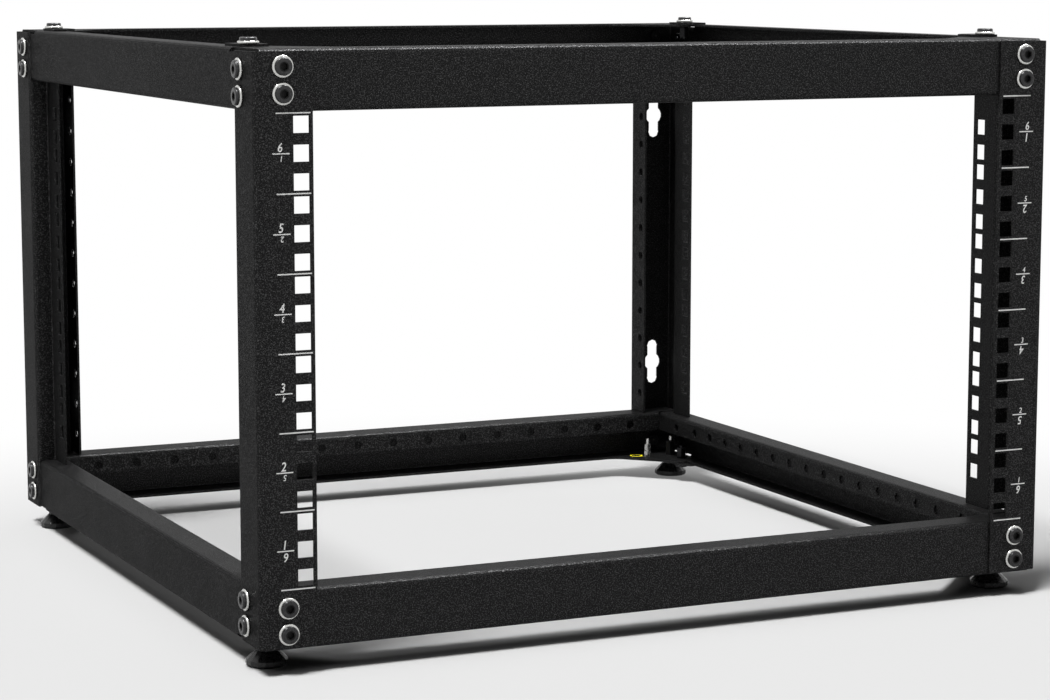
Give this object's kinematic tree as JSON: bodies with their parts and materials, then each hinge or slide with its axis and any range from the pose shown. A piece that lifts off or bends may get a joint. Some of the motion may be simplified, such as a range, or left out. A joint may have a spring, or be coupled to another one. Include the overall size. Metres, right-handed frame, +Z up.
{
  "type": "open-frame rack",
  "caption": "Low open frame for rack equipment: folded posts with square-hole rails, drilled folded beams and levelling feet.",
  "frame": {"origin": "on the floor, under the middle of the frame, at the underside of the feet", "axes": "+X to the right seen from the front, +Y to the back, +Z up"},
  "size_m": [0.5206, 0.5, 0.3524],
  "materials": {
    "powder_coat": "fine-textured black powder coat",
    "black_steel": "black oxide, satin",
    "foot_plastic": "moulded, satin black",
    "zinc_steel": "bright zinc"
  },
  "bodies": {
    "root": {"beam_front_bottom": "powder_coat", "beam_front_top": "powder_coat", "beam_left_bottom": "powder_coat", "beam_left_top": "powder_coat", "beam_rear_bottom": "powder_coat", "beam_rear_top": "powder_coat", "beam_right_bottom": "powder_coat", "beam_right_top": "powder_coat", "earth_nut": "zinc_steel", "earth_stud": "zinc_steel", "foot_front_left": "foot_plastic", "foot_front_right": "foot_plastic", "foot_nut_front_left": "black_steel", "foot_nut_front_right": "black_steel", "foot_nut_rear_left": "black_steel", "foot_nut_rear_right": "black_steel", "foot_rear_left": "foot_plastic", "foot_rear_right": "foot_plastic", "post_front_left": "powder_coat", "post_front_right": "powder_coat", "post_rear_left": "powder_coat", "post_rear_right": "powder_coat"}
  },
  "joints": []
}
